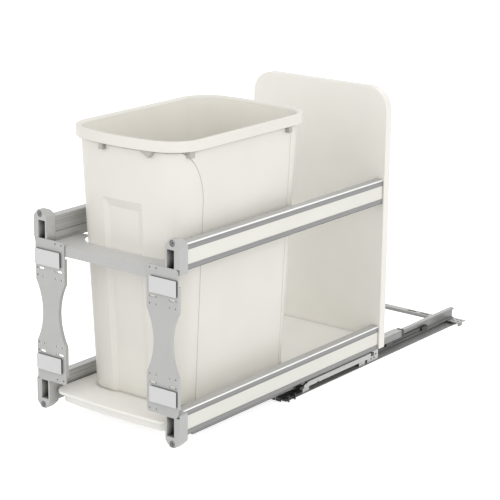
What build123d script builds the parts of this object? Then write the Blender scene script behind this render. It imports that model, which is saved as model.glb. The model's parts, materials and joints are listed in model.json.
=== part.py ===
"""Pull-out waste cabinet fitting: a carriage on two undermount slides, a tray and a lift-out bin.

Units are millimetres. X runs to the right, Y from the door side to the back, Z up.
Y is laid out from the back face of the door (Y = 0 at the rest pose) and shifted on export,
so that the origin is the middle of the floor screw pattern. Z = 0 is the cabinet floor.
The rest pose is the carriage pulled about half way out. Parts are drawn on the right
and mirrored to the left.
"""
import os

from build123d import *

# ---------------------------------------------------------------- driving dimensions
# carriage side rails (extruded section, four off)
RAIL_IN, RAIL_OUT = 121.0, 137.0
RAIL_H = 42.0
LOW_Z, UP_Z = 30.0, 290.5
RAIL_FRONT, RAIL_BACK = 20.0, 548.5
INSERT_LOW, INSERT_HIGH = 9.0, 31.5
GROOVE_DEPTH, INSERT_THICK = 2.0, 1.7
INSERT_END_GAP = 1.5
INNER_RECESS_LOW, INNER_RECESS_HIGH, INNER_RECESS_DEPTH = 16.2, 33.6, 1.5
CHAMBER_IN, CHAMBER_OUT, CHAMBER_HALF_H = 126.5, 132.5, 8.5
PORT_X, PORT_RISE, PORT_R = 129.0, 15.2, 2.25
RAIL_EDGE_R = 1.6

# front caps (four off)
CAP_LAP_IN, CAP_LAP_OUT, CAP_DEPTH = 1.0, 10.0, 20.0
CAP_IN, CAP_OUT = RAIL_IN - CAP_LAP_IN, RAIL_OUT + CAP_LAP_OUT
CAP_MID = (CAP_IN + CAP_OUT) / 2
CAP_SHOULDER, CAP_TIP = 22.5, 32.8
CAP_TIP_HALF = 4.5
CAP_TIP_IN, CAP_TIP_OUT = CAP_MID - CAP_TIP_HALF, CAP_MID + CAP_TIP_HALF
CAP_CORNER_R, CAP_REAR_R, CAP_REAR_EASE = 2.5, 8.0, 0.3
POCKET_WALL_IN, POCKET_DEPTH = 3.0, 15.0
POCKET_IN, POCKET_OUT = CAP_IN + POCKET_WALL_IN, RAIL_OUT
POCKET_END, POCKET_HIDDEN = 16.0, 15.0
TONGUE_GAP, TONGUE_LENGTH = 0.2, 10.0
CAP_SCREW_RISE = 26.4
SCREW_HEAD_R, SCREW_HEAD_H, SCREW_SHANK_R, SCREW_LENGTH = 4.7, 1.4, 2.2, 12.0
SCREW_SEAT_R, SCREW_SEAT_DEPTH = 5.2, 2.0
SCREW_SEAT_GAP = 0.05
CROSS_W, CROSS_L, CROSS_DEPTH = 1.1, 5.6, 0.8

# door brackets (two off), each with two foam pads under a peel-off liner
PLATE_T = 2.0
BRACKET_IN, BRACKET_OUT = 83.5, 144.5
BRACKET_LOW, BRACKET_HIGH = 67.0, 299.0
WAIST_LOW, WAIST_HIGH, WAIST_SINK = 130.0, 231.0, 13.5
BRACKET_CORNER_R, WAIST_CORNER_R = 5.0, 9.0
FLANGE_DEPTH, FLANGE_LOW, FLANGE_HIGH = 6.5, 80.0, 272.0
HOLE_R = 1.5
HOLE_XS_INNER = (BRACKET_IN + 6.0, BRACKET_IN + 18.8)
HOLE_XS_OUTER = (BRACKET_OUT - 16.1, BRACKET_OUT - 4.2)
HOLE_ZS_ALL = (128.0, 238.6)
HOLE_ZS_INNER = (BRACKET_LOW + 6.0, BRACKET_HIGH - 4.7)
SLOT_W, SLOT_L = 3.6, 11.0
SLOT_XS, SLOT_ZS = (BRACKET_IN + 10.5, BRACKET_OUT - 12.0), (114.6, 250.5)
SLOT_SIDE_HOLE = 8.6
PAD_IN, PAD_OUT = BRACKET_IN + 7.7, BRACKET_OUT - 1.5
PAD_H, PAD_T, PAD_CORNER_R = 24.6, 3.0, 1.6
PAD_ZS = (97.0, 269.6)
LINER_T, LINER_OVERHANG = 0.4, 0.4

# cross shelf between the upper rails
SHELF_RISE, SHELF_T, SHELF_BACK = 2.5, 1.5, 78.0
SHELF_TOP = UP_Z + SHELF_RISE
SHELF_HALF, SHELF_FLANGE_H = 119.4, 16.0
SHELF_CUT_HALF, SHELF_CUT_FRONT, SHELF_CUT_BACK = 102.0, 40.5, 234.0
SHELF_CUT_R, SHELF_CUT_BOW = 44.0, 2.0
SHELF_HORN_R = 7.0
SHELF_SCREW_XS, EAR_MARGIN = (98.0, 112.0), 7.0

# back panel and its screws
PANEL_HALF, PANEL_T, PANEL_LOW, PANEL_HIGH = 140.0, 16.0, 31.3, 488.3
PANEL_CORNER_R, PANEL_EDGE_R = 38.0, 1.0
PANEL_HOLE_R, PANEL_SCREW_IN_RAIL = 2.6, 18.0
PANEL_HEAD_R, PANEL_HEAD_H = 4.6, 2.4

# base tray
TRAY_HALF, TRAY_FRONT, TRAY_BACK, TRAY_TOP, TRAY_T = 119.4, 2.0, 548.5, 51.0, 4.0
TRAY_CORNER_R, TRAY_BOW = 24.0, 5.0
TRAY_SKIRT_INSET, TRAY_SKIRT_T, TRAY_SKIRT_LOW, TRAY_SKIRT_BACK = 8.0, 3.0, 33.0, 22.0
TRAY_WALL_IN, TRAY_WALL_OUT, TRAY_WALL_BACK = 83.0, 86.0, 540.0
TRAY_RIB_YS, TRAY_RIB_T = (60.0, 215.0, 370.0, 525.0), 3.0
TRAY_LIP_R, TRAY_CORNER_EASE = 1.5, 0.5

# bin
BIN_FLOOR, BIN_TOP, BIN_WALL, BIN_BASE_T = 51.0, 476.0, 2.4, 3.0
BIN_LOW = dict(half=91.5, front=60.2, back=348.8, radius=30.0, front_bow=4.0, back_bow=2.0)
BIN_HIGH = dict(half=110.4, front=32.0, back=374.0, radius=50.0, front_bow=20.0, back_bow=9.0)
RIM_OUT, RIM_H, RIM_SKIRT, RIM_TOP_T = 8.4, 18.5, 2.6, 3.0
RIM_EDGE_R = 4.5
ARCH_DEPTH, SIDE_DEPTH = 1.6, 1.0
ARCH_HALF, ARCH_TOP, ARCH_R = 41.0, 368.0, 18.0
ARCH_SLOPE_DEPTH, ARCH_SLOPE_W = 1.5, 7.0
SIDE_RECESS_FRONT, SIDE_RECESS_BACK, SIDE_RECESS_BEND, SIDE_RECESS_R = 104.5, 322.0, 372.0, 105.0
RIB_W, RIB_DROP, RIB_FRONT_X, RIB_YS = 8.0, 10.0, -31.0, (71.0, 311.0)
GRIP_IN, GRIP_TIP, GRIP_OUT, GRIP_DROP = 44.0, 60.5, 67.0, 11.0

# slides: cabinet members
WEB_IN, WEB_OUT = 102.25, 103.75
MEMBER_FRONT, MEMBER_BACK = 305.0, 850.0
SHEET = 1.5
MEMBER_FLANGE_OUT, MEMBER_WEB_TOP = 121.0, 23.0
BEAD_IN, BEAD_OUT, BEAD_LOW, BEAD_HIGH = 99.0, 107.0, 22.5, 26.0
LEDGE_OUT, LEDGE_LOW, LEDGE_HIGH, LEDGE_FRONT = 107.5, 6.9, 8.1, 347.0
FLOOR_HOLE_X, FLOOR_HOLE_YS, FLOOR_HOLE_R = 113.0, (370.0, 810.0), 2.25

# slides: middle members and their end blocks
MID_FRONT, MID_BACK = 164.0, 664.0
MID_IN, MID_OUT, MID_LOW, MID_HIGH = 94.5, 111.5, 17.0, 29.5
MID_LIP_IN, MID_LIP_OUT = 100.6, 105.4
RUN_GAP, GLIDE_END = 0.3, 6.0
BLOCK_IN, BLOCK_OUT, BLOCK_LOW, BLOCK_HIGH, BLOCK_LENGTH = 96.5, 110.5, 17.5, 29.0, 9.0
BLOCK_SLOT_GAP = 1.0

# slides: guide cages
CAGE_FRONT, CAGE_BACK, CAGE_IN, CAGE_OUT = 380.0, 757.0, 104.3, 106.0
CAGE_LOW, CAGE_HIGH, CAGE_PAD_OUT, CAGE_PAD_L = 8.5, 15.5, 108.8, 20.0
CAGE_PADS = (380.0, 500.0, 620.0)

# slides: runners under the carriage
RUNNER_FRONT, RUNNER_BACK = 70.0, 546.0
RUNNER_IN, RUNNER_OUT, RUNNER_LOW, RUNNER_TOP = 89.5, 116.0, 14.0, 34.0
RUNNER_LIP_IN, RUNNER_LIP_OUT = 97.0, 111.3
RUNNER_GLIDE_BACK = 440.0
TRIGGER_FRONT, TRIGGER_BACK, TRIGGER_OUT = 96.0, 117.0, 120.3
TRIGGER_LOW, TRIGGER_HIGH = 25.0, 28.0

# slides: soft-close housings, cylinders, end pieces and catches
HOUSE_IN, HOUSE_OUT, HOUSE_LOW, HOUSE_HIGH = 117.5, 126.0, 12.8, 21.3
HOUSE_FRONT, HOUSE_BACK, HOUSE_WALL = 348.0, 545.0, 1.2
HOUSE_NOSE_L, HOUSE_NOSE_H = 16.0, 4.0
NOTCH_Y, NOTCH_L, NOTCH_H = 386.0, 8.0, 3.0
SLOT_TOP_IN, SLOT_TOP_OUT, SLOT_TOP_FRONT, SLOT_TOP_BACK = 120.6, 123.4, 362.0, 412.0
LEG_YS, LEG_L = (354.0, 520.0), 18.0
TAIL_BACK, TAIL_HIGH, TAIL_HOLE_R = 578.0, 19.0, 2.0
TAIL_HOLES = ((552.0, 12.0), (557.0, 6.0), (562.0, 13.0), (566.0, 6.5), (571.0, 11.5))
END_FRONT, END_BACK, END_GRIP, END_TIP_H = 336.0, 556.0, 6.0, 3.6
CYL_X, CYL_R, CYL_BORE, CYL_FRONT, CYL_BACK, CYL_END = 121.75, 2.7, 1.8, 430.0, 536.0, 3.0
CYL_Z = (HOUSE_LOW + HOUSE_HIGH) / 2
CATCH_FRONT, CATCH_BACK, CATCH_GAP = 364.0, 380.0, 0.4
FINGER_IN, FINGER_OUT, FINGER_FRONT, FINGER_BACK, FINGER_TOP = 121.0, 123.0, 368.0, 374.0, 28.0
ROD_R, ROD_BACK = 1.45, 480.0

# base cross members and feet
CROSS_FRONT, CROSS_BACK, CROSS_LOW, CROSS_TOP = 299.0, 345.0, 5.0, 6.5
FOOT_OUT, FOOT_PLATE_OUT, LUG_IN, LUG_LOW, LUG_HIGH = 126.7, 124.0, 114.0, 0.0, 12.4
FOOT_LUG_YS, FOOT_HOLE_R, FOOT_HOLE_YS = (305.0, 322.0), 1.7, (315.0, 333.0)
LUG_HOLE = (123.0, 6.2, 1.6)
REAR_FOOT_FRONT, REAR_FOOT_OUT, REAR_TAB_BACK = 826.0, 133.0, 838.0
REAR_HOLES = ((112.0, 838.0), (119.5, 843.0), (126.0, 834.0), (118.5, 832.5), (127.0, 843.0))
CHANNEL_FRONT, CHANNEL_BACK, CHANNEL_TOP, CHANNEL_LOW = 812.0, 826.0, 12.0, 6.5
CHANNEL_SLOTS, CHANNEL_SLOT_L, CHANNEL_SLOT_W = (-62.0, -34.0, 34.0, 62.0), 20.0, 5.0

ORIGIN_Y = sum(FLOOR_HOLE_YS) / 2
NEAR = 0.01
MIRROR = Plane.YZ


# ---------------------------------------------------------------- helpers
def block(x0, x1, y0, y1, z0, z1):
    """Box between two corners."""
    return Pos((x0 + x1) / 2, (y0 + y1) / 2, (z0 + z1) / 2) * Box(x1 - x0, y1 - y0, z1 - z0)


def rect(a0, a1, b0, b1):
    """Rectangle between two corners of a sketch plane."""
    return Pos((a0 + a1) / 2, (b0 + b1) / 2) * Rectangle(a1 - a0, b1 - b0)


def outline(*points):
    """Closed polygon, turned the right way round so that it always extrudes forwards."""
    turned = sum(a[0] * b[1] - b[0] * a[1] for a, b in zip(points, points[1:] + points[:1]))
    return Polygon(*(points if turned > 0 else points[::-1]), align=None)


def along_y(face, y0, y1):
    """Extrude a section drawn in X and Z from y0 to y1."""
    return extrude(Plane.XZ.offset(-y1) * face, amount=y1 - y0)


def along_x(face, x0, x1):
    """Extrude a section drawn in Y and Z from x0 to x1."""
    return extrude(Plane.YZ.offset(x0) * face, amount=x1 - x0)


def along_z(face, z0, z1):
    """Extrude a plan drawn in X and Y from z0 to z1."""
    return extrude(Pos(0, 0, z0) * face, amount=z1 - z0)


def rod_y(x, z, radius, y0, y1):
    """Round bar along Y."""
    return along_y(Pos(x, z) * Circle(radius), y0, y1)


def left_of(shape):
    """The left-hand copy of a right-hand part."""
    return mirror(shape, about=MIRROR)


def bowed(half, front, back, radius, front_bow, back_bow):
    """Plan of a rounded box whose front and back edges bow outwards."""
    edges = ThreePointArc((-half, front + front_bow), (0, front), (half, front + front_bow))
    edges += Line((half, front + front_bow), (half, back - back_bow))
    edges += ThreePointArc((half, back - back_bow), (0, back), (-half, back - back_bow))
    edges += Line((-half, back - back_bow), (-half, front + front_bow))
    face = make_face(edges)
    return fillet(face.vertices(), radius)


def inset(plan, amount):
    """The bowed plan's numbers, moved in by amount all round."""
    moved = dict(plan)
    moved["half"] -= amount
    moved["front"] += amount
    moved["back"] -= amount
    moved["radius"] -= amount
    return moved


# ---------------------------------------------------------------- carriage rails
def rail_section():
    """Section of the right rail, with Z from its own lower edge."""
    section = rect(RAIL_IN, RAIL_OUT, 0, RAIL_H)
    section = fillet(section.vertices(), RAIL_EDGE_R)
    section -= rect(RAIL_OUT - GROOVE_DEPTH, RAIL_OUT, INSERT_LOW, INSERT_HIGH)
    section -= rect(RAIL_IN, RAIL_IN + INNER_RECESS_DEPTH, INNER_RECESS_LOW, INNER_RECESS_HIGH)
    middle = RAIL_H / 2
    section -= rect(CHAMBER_IN, CHAMBER_OUT, middle - CHAMBER_HALF_H, middle + CHAMBER_HALF_H)
    for rise in (-PORT_RISE, PORT_RISE):
        section -= Pos(PORT_X, middle + rise) * Circle(PORT_R)
    return section


def rail(low):
    """Right rail with its lower edge at the given height."""
    return Pos(0, 0, low) * along_y(rail_section(), RAIL_FRONT, RAIL_BACK)


def rail_insert(low):
    """Pale strip pressed into the groove on the outside of a rail."""
    groove = RAIL_OUT - GROOVE_DEPTH
    strip = rect(groove, groove + INSERT_THICK, INSERT_LOW, INSERT_HIGH)
    return Pos(0, 0, low) * along_y(strip, RAIL_FRONT, RAIL_BACK - INSERT_END_GAP)


# ---------------------------------------------------------------- front caps
def front_cap(low, up, plate_edge):
    """Cap on the front end of a rail; up is 1 for an upper cap and -1 for a lower one."""
    centre = low + RAIL_H / 2
    front = outline(
        (CAP_IN, centre - up * RAIL_H / 2),
        (CAP_OUT, centre - up * RAIL_H / 2),
        (CAP_OUT, centre + up * CAP_SHOULDER),
        (CAP_TIP_OUT, centre + up * CAP_TIP),
        (CAP_TIP_IN, centre + up * CAP_TIP),
        (CAP_IN, centre + up * CAP_SHOULDER),
    )
    cap = along_y(fillet(front.vertices(), CAP_CORNER_R), 0, CAP_DEPTH)
    reach = centre + up * CAP_TIP
    hump = outline(
        (CAP_DEPTH, reach),
        (CAP_DEPTH - CAP_REAR_R, reach),
        (CAP_DEPTH - CAP_REAR_R * CAP_REAR_EASE, reach - up * CAP_REAR_R * CAP_REAR_EASE),
        (CAP_DEPTH, reach - up * CAP_REAR_R),
    )
    cap -= along_x(hump, CAP_IN, CAP_OUT)
    # rebate for the door bracket, and the pocket that runs on behind it
    back_edge = centre - up * RAIL_H / 2
    low_z, high_z = sorted((back_edge, plate_edge))
    cap -= block(CAP_IN, CAP_OUT, 0, PLATE_T, low_z, high_z)
    low_z, high_z = sorted((centre - up * POCKET_HIDDEN, centre + up * POCKET_END))
    cap -= block(POCKET_IN, POCKET_OUT, 0, POCKET_DEPTH, low_z, high_z)
    # screw seat and screw hole
    seat_z = centre + up * CAP_SCREW_RISE
    cap -= rod_y(CAP_MID, seat_z, SCREW_SEAT_R, 0, SCREW_SEAT_DEPTH)
    hole_r = SCREW_SHANK_R + SCREW_SEAT_GAP
    cap -= rod_y(CAP_MID, seat_z, hole_r, 0, SCREW_SEAT_DEPTH + SCREW_LENGTH)
    # tongue inside the rail
    tongue = block(
        CHAMBER_IN + TONGUE_GAP,
        CHAMBER_OUT - TONGUE_GAP,
        CAP_DEPTH,
        CAP_DEPTH + TONGUE_LENGTH,
        centre - CHAMBER_HALF_H + TONGUE_GAP,
        centre + CHAMBER_HALF_H - TONGUE_GAP,
    )
    return cap + tongue


def cap_screw(low, up):
    """Cross-headed screw in the tip of a front cap."""
    z = low + RAIL_H / 2 + up * CAP_SCREW_RISE
    face_y = SCREW_SEAT_DEPTH - SCREW_HEAD_H
    screw = rod_y(CAP_MID, z, SCREW_HEAD_R, face_y, SCREW_SEAT_DEPTH)
    screw += rod_y(CAP_MID, z, SCREW_SHANK_R, SCREW_SEAT_DEPTH, SCREW_SEAT_DEPTH + SCREW_LENGTH)
    cross = Rectangle(CROSS_W, CROSS_L) + Rectangle(CROSS_L, CROSS_W)
    screw -= along_y(Pos(CAP_MID, z) * cross, face_y, face_y + CROSS_DEPTH)
    return screw


# ---------------------------------------------------------------- door brackets
def bracket_outline():
    """Front view of the bracket: wide ends and a waist, with rounded corners."""
    middle = (WAIST_LOW + WAIST_HIGH) / 2
    in_low, in_high = (BRACKET_IN, WAIST_LOW), (BRACKET_IN, WAIST_HIGH)
    out_low, out_high = (BRACKET_OUT, WAIST_LOW), (BRACKET_OUT, WAIST_HIGH)
    edges = Polyline(in_low, (BRACKET_IN, BRACKET_LOW), (BRACKET_OUT, BRACKET_LOW), out_low)
    edges += Polyline(out_high, (BRACKET_OUT, BRACKET_HIGH), (BRACKET_IN, BRACKET_HIGH), in_high)
    edges += ThreePointArc(out_low, (BRACKET_OUT - WAIST_SINK, middle), out_high)
    edges += ThreePointArc(in_high, (BRACKET_IN + WAIST_SINK, middle), in_low)
    rows = make_face(edges).vertices().group_by(Axis.Y)
    face = fillet(rows[1] + rows[2], WAIST_CORNER_R)
    rows = face.vertices().group_by(Axis.Y)
    return fillet(rows[0] + rows[-1], BRACKET_CORNER_R)


def door_bracket():
    """Waisted plate screwed to the door, stiffened by a turned-back edge."""
    face = bracket_outline()
    plate = along_y(face, 0, PLATE_T)
    rim = along_y(face - offset(face, amount=-PLATE_T), PLATE_T, FLANGE_DEPTH)
    plate += rim & block(BRACKET_IN, BRACKET_OUT, PLATE_T, FLANGE_DEPTH, FLANGE_LOW, FLANGE_HIGH)
    slots = [(x, z) for z in SLOT_ZS for x in SLOT_XS]
    holes = [(x, z) for z in HOLE_ZS_ALL for x in HOLE_XS_INNER + HOLE_XS_OUTER]
    holes += [(x, z) for z in HOLE_ZS_INNER for x in HOLE_XS_INNER]
    holes += [(x + SLOT_SIDE_HOLE, z) for x, z in slots]
    for x, z in holes:
        plate -= rod_y(x, z, HOLE_R, 0, PLATE_T)
    for x, z in slots:
        plate -= along_y(Pos(x, z) * SlotOverall(SLOT_L, SLOT_W), 0, PLATE_T)
    for x in SHELF_SCREW_XS:
        plate -= rod_y(x, PAD_ZS[-1], SCREW_SHANK_R + SCREW_SEAT_GAP, 0, PLATE_T)
    return plate


def door_pad(z):
    """Foam pad that holds the door in place until its screws are driven."""
    face = RectangleRounded(PAD_OUT - PAD_IN, PAD_H, PAD_CORNER_R)
    return along_y(Pos((PAD_IN + PAD_OUT) / 2, z) * face, -PAD_T, 0)


def pad_liner(z):
    """Peel-off liner on the front of a foam pad."""
    width = PAD_OUT - PAD_IN + 2 * LINER_OVERHANG
    face = RectangleRounded(width, PAD_H + 2 * LINER_OVERHANG, PAD_CORNER_R)
    return along_y(Pos((PAD_IN + PAD_OUT) / 2, z) * face, -PAD_T - LINER_T, -PAD_T)


# ---------------------------------------------------------------- cross shelf
def cross_shelf():
    """Shelf with a concave back edge and a turned-down front, with an ear behind each bracket."""
    plan = rect(-SHELF_HALF, SHELF_HALF, PLATE_T, SHELF_BACK)
    plan -= bowed(
        SHELF_CUT_HALF,
        SHELF_CUT_FRONT,
        SHELF_CUT_BACK,
        SHELF_CUT_R,
        SHELF_CUT_BOW,
        SHELF_CUT_BOW,
    )
    tips = plan.vertices().group_by(Axis.Y)[-1]
    plan = fillet(tips, SHELF_HORN_R)
    shelf = along_z(plan, SHELF_TOP - SHELF_T, SHELF_TOP)
    front_low = SHELF_TOP - SHELF_FLANGE_H
    shelf += block(-SHELF_HALF, SHELF_HALF, PLATE_T, PLATE_T + SHELF_T, front_low, SHELF_TOP)
    screw_z = PAD_ZS[-1]
    for side in (-1, 1):
        x0, x1 = sorted((side * (SHELF_SCREW_XS[0] - EAR_MARGIN), side * (SHELF_SCREW_XS[-1] + EAR_MARGIN)))
        ear = rect(x0, x1, screw_z - EAR_MARGIN, front_low)
        ear = fillet(ear.vertices().group_by(Axis.Y)[0], BRACKET_CORNER_R)
        shelf += along_y(ear, PLATE_T, PLATE_T + SHELF_T)
        for x in SHELF_SCREW_XS:
            shelf -= rod_y(side * x, screw_z, PANEL_HOLE_R, PLATE_T, PLATE_T + SHELF_T)
    return shelf


def shelf_screw(x):
    """Screw through an ear of the shelf into the bracket, behind the upper pad."""
    back = PLATE_T + SHELF_T
    screw = rod_y(x, PAD_ZS[-1], SCREW_HEAD_R, back, back + SCREW_HEAD_H)
    return screw + rod_y(x, PAD_ZS[-1], SCREW_SHANK_R, 0, back)


# ---------------------------------------------------------------- back panel
def rail_ports():
    """Screw positions in the rails' ends, right side."""
    centres = (LOW_Z + RAIL_H / 2, UP_Z + RAIL_H / 2)
    return [(PORT_X, centre + rise) for centre in centres for rise in (-PORT_RISE, PORT_RISE)]


def back_panel():
    """Board behind the bin, with rounded top corners and screw holes."""
    board = rect(-PANEL_HALF, PANEL_HALF, PANEL_LOW, PANEL_HIGH)
    board = fillet(board.vertices().group_by(Axis.Y)[-1], PANEL_CORNER_R)
    panel = along_y(board, RAIL_BACK, RAIL_BACK + PANEL_T)
    faces = panel.faces().sort_by(Axis.Y)
    panel = fillet(faces[0].edges() + faces[-1].edges(), PANEL_EDGE_R)
    for x, z in rail_ports():
        for side in (-1, 1):
            panel -= rod_y(side * x, z, PANEL_HOLE_R, RAIL_BACK, RAIL_BACK + PANEL_T)
    return panel


def panel_screw(x, z):
    """Cross-headed screw through the panel into a rail's end."""
    back = RAIL_BACK + PANEL_T
    screw = rod_y(x, z, PANEL_HEAD_R, back, back + PANEL_HEAD_H)
    screw += rod_y(x, z, SCREW_SHANK_R, RAIL_BACK - PANEL_SCREW_IN_RAIL, back)
    cross = Rectangle(CROSS_W, CROSS_L) + Rectangle(CROSS_L, CROSS_W)
    screw -= along_y(Pos(x, z) * cross, back + PANEL_HEAD_H - CROSS_DEPTH, back + PANEL_HEAD_H)
    return screw


# ---------------------------------------------------------------- base tray
def tray_plan(move_in):
    """Tray outline with a bowed front and rounded front corners."""
    half = TRAY_HALF - move_in
    front = TRAY_FRONT + move_in
    right, left = (half, front + TRAY_BOW), (-half, front + TRAY_BOW)
    edges = ThreePointArc(left, (0, front), right)
    edges += Polyline(right, (half, TRAY_BACK), (-half, TRAY_BACK), left)
    corners = make_face(edges).vertices().group_by(Axis.Y)[0]
    return fillet(corners, TRAY_CORNER_R - move_in * TRAY_CORNER_EASE)


def base_tray():
    """Tray deck with a rounded lip, on a front skirt, two walls and side ribs."""
    deck_low = TRAY_TOP - TRAY_T
    tray = along_z(tray_plan(0), deck_low, TRAY_TOP)
    top = tray.faces().sort_by(Axis.Z)[-1]
    tray = fillet(top.edges().sort_by(Axis.Y)[:-1], TRAY_LIP_R)
    skirt = tray_plan(TRAY_SKIRT_INSET) - tray_plan(TRAY_SKIRT_INSET + TRAY_SKIRT_T)
    skirt &= rect(-TRAY_HALF, TRAY_HALF, 0, TRAY_SKIRT_BACK)
    tray += along_z(skirt, TRAY_SKIRT_LOW, deck_low)
    wall_front = TRAY_FRONT + TRAY_SKIRT_INSET + TRAY_SKIRT_T
    for side in (-1, 1):
        x0, x1 = sorted((side * TRAY_WALL_IN, side * TRAY_WALL_OUT))
        tray += block(x0, x1, wall_front, TRAY_WALL_BACK, TRAY_SKIRT_LOW, deck_low)
        x0, x1 = sorted((side * TRAY_WALL_OUT, side * TRAY_HALF))
        for y in TRAY_RIB_YS:
            tray += block(x0, x1, y, y + TRAY_RIB_T, RUNNER_TOP, deck_low)
    return tray


# ---------------------------------------------------------------- bin
def bin_body(move_in, low, high):
    """Tapered bin solid, its walls moved in by move_in."""
    def plan(z):
        share = (z - BIN_FLOOR) / (BIN_TOP - BIN_FLOOR)
        mix = {key: BIN_LOW[key] + share * (BIN_HIGH[key] - BIN_LOW[key]) for key in BIN_LOW}
        return Pos(0, 0, z) * bowed(**inset(mix, move_in))
    return loft([plan(low), plan(high)])


def arch_panel(grow):
    """Space in front of the front panel's outline, moved out by grow all round."""
    face = rect(-ARCH_HALF - grow, ARCH_HALF + grow, 0, ARCH_TOP + grow)
    face = fillet(face.vertices().group_by(Axis.Y)[-1], ARCH_R + grow)
    return along_y(face, 0, BIN_LOW["front"] + BIN_LOW["radius"])


def side_panels():
    """Space of the side panels' outline, whose front edge sweeps forwards under the rim."""
    skirt_low = BIN_TOP - RIM_H
    centre_y = SIDE_RECESS_FRONT - SIDE_RECESS_R
    face = rect(SIDE_RECESS_FRONT, SIDE_RECESS_BACK, 0, skirt_low)
    face += rect(centre_y, SIDE_RECESS_FRONT, SIDE_RECESS_BEND, skirt_low)
    face -= Pos(centre_y, SIDE_RECESS_BEND) * Circle(SIDE_RECESS_R)
    reach = BIN_HIGH["half"] + RIM_OUT
    return along_x(face, -reach, reach)


def panelled_body():
    """Bin solid with its side panels, and the front panel inside a sloping border."""
    body = bin_body(0, BIN_FLOOR, BIN_TOP)
    body -= side_panels() & (body - bin_body(SIDE_DEPTH, BIN_FLOOR, BIN_TOP))
    core = bin_body(ARCH_DEPTH, BIN_FLOOR, BIN_TOP)
    arch = arch_panel(0)
    body -= arch & (body - core)
    border = [
        edge
        for edge in body.edges()
        if arch.distance_to(edge @ 0.5) < NEAR
        and core.distance_to(edge @ 0.5) > ARCH_SLOPE_DEPTH
    ]
    skin = max((face for face in body.faces() if border[0] in face.edges()), key=lambda face: face.area)
    return chamfer(border, ARCH_SLOPE_W, ARCH_SLOPE_DEPTH, reference=skin)


def rim_ribs():
    """Ribs that tie the rim's skirt to the wall, with a pointed grip web at the front right."""
    skirt_low = BIN_TOP - RIM_H
    top = BIN_TOP - RIM_TOP_T
    reach = BIN_HIGH["half"] + RIM_OUT
    deep = BIN_HIGH["front"] + BIN_HIGH["front_bow"]
    half = RIB_W / 2
    ribs = block(RIB_FRONT_X - half, RIB_FRONT_X + half, 0, deep, skirt_low - RIB_DROP, top)
    for y in RIB_YS:
        ribs += block(-reach, reach, y - half, y + half, skirt_low - RIB_DROP, top)
    web = outline(
        (GRIP_IN, top),
        (GRIP_IN, skirt_low),
        (GRIP_TIP, skirt_low - GRIP_DROP),
        (GRIP_OUT, skirt_low),
        (GRIP_OUT, top),
    )
    ribs += along_y(web, 0, deep)
    zone = bowed(**inset(BIN_HIGH, RIM_SKIRT / 2 - RIM_OUT))
    return ribs & along_z(zone, skirt_low - GRIP_DROP, top)


def waste_bin():
    """Tapered bin with pressed panels and a rolled rim with a down-turned skirt."""
    rim = along_z(bowed(**inset(BIN_HIGH, -RIM_OUT)), BIN_TOP - RIM_H, BIN_TOP)
    rim = fillet(rim.faces().sort_by(Axis.Z)[-1].edges(), RIM_EDGE_R)
    skirt_inside = bowed(**inset(BIN_HIGH, RIM_SKIRT - RIM_OUT))
    rim -= along_z(skirt_inside, BIN_TOP - RIM_H, BIN_TOP - RIM_TOP_T)
    inside = bin_body(BIN_WALL, BIN_FLOOR + BIN_BASE_T, BIN_TOP)
    behind_arch = bin_body(BIN_WALL + ARCH_DEPTH, BIN_FLOOR + BIN_BASE_T, BIN_TOP)
    inside -= arch_panel(BIN_WALL) & (inside - behind_arch)
    return panelled_body() + rim + rim_ribs() - inside


# ---------------------------------------------------------------- slides
def cabinet_member():
    """Formed member with a floor flange, an upright web and a headed top edge."""
    section = rect(WEB_IN, MEMBER_FLANGE_OUT, 0, SHEET)
    section += rect(WEB_IN, WEB_OUT, 0, MEMBER_WEB_TOP)
    section += rect(BEAD_IN, BEAD_OUT, BEAD_LOW, BEAD_HIGH)
    member = along_y(section, MEMBER_FRONT, MEMBER_BACK)
    member += block(WEB_OUT, LEDGE_OUT, LEDGE_FRONT, MEMBER_BACK, LEDGE_LOW, LEDGE_HIGH)
    for y in FLOOR_HOLE_YS:
        member -= along_z(Pos(FLOOR_HOLE_X, y) * Circle(FLOOR_HOLE_R), 0, SHEET)
    return member


def middle_member():
    """Channel that wraps the head of the cabinet member."""
    section = rect(MID_IN, MID_OUT, MID_LOW, MID_HIGH)
    section = fillet(section.vertices().group_by(Axis.Y)[-1], SHEET)
    section -= rect(MID_IN + SHEET, MID_OUT - SHEET, MID_LOW + SHEET, MID_HIGH - SHEET)
    section -= rect(MID_LIP_IN, MID_LIP_OUT, MID_LOW, MID_LOW + SHEET)
    return along_y(section, MID_FRONT, MID_BACK)


def mid_glide():
    """Low-friction strip between the head of the cabinet member and the middle member."""
    y0, y1 = MID_FRONT + GLIDE_END, MID_BACK - GLIDE_END
    return block(BEAD_IN, BEAD_OUT, y0, y1, BEAD_HIGH + RUN_GAP, MID_HIGH - SHEET)


def mid_end_block():
    """Plastic end block behind the middle member."""
    section = rect(BLOCK_IN, BLOCK_OUT, BLOCK_LOW, BLOCK_HIGH)
    section = fillet(section.vertices().group_by(Axis.Y)[-1], SHEET)
    gap = BLOCK_SLOT_GAP
    section -= rect(BEAD_IN - gap, BEAD_OUT + gap, BEAD_LOW - gap, BEAD_HIGH + gap)
    section -= rect(WEB_IN - gap, WEB_OUT + gap, BLOCK_LOW, BEAD_LOW)
    return along_y(section, MID_BACK, MID_BACK + BLOCK_LENGTH)


def guide_cage():
    """Strip of glide pads that follows beside the web."""
    cage = block(CAGE_IN, CAGE_OUT, CAGE_FRONT, CAGE_BACK - CAGE_PAD_L, CAGE_LOW, CAGE_HIGH)
    for y in CAGE_PADS:
        cage += block(CAGE_IN, CAGE_PAD_OUT, y, y + CAGE_PAD_L, CAGE_LOW, CAGE_HIGH)
    return cage


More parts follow.
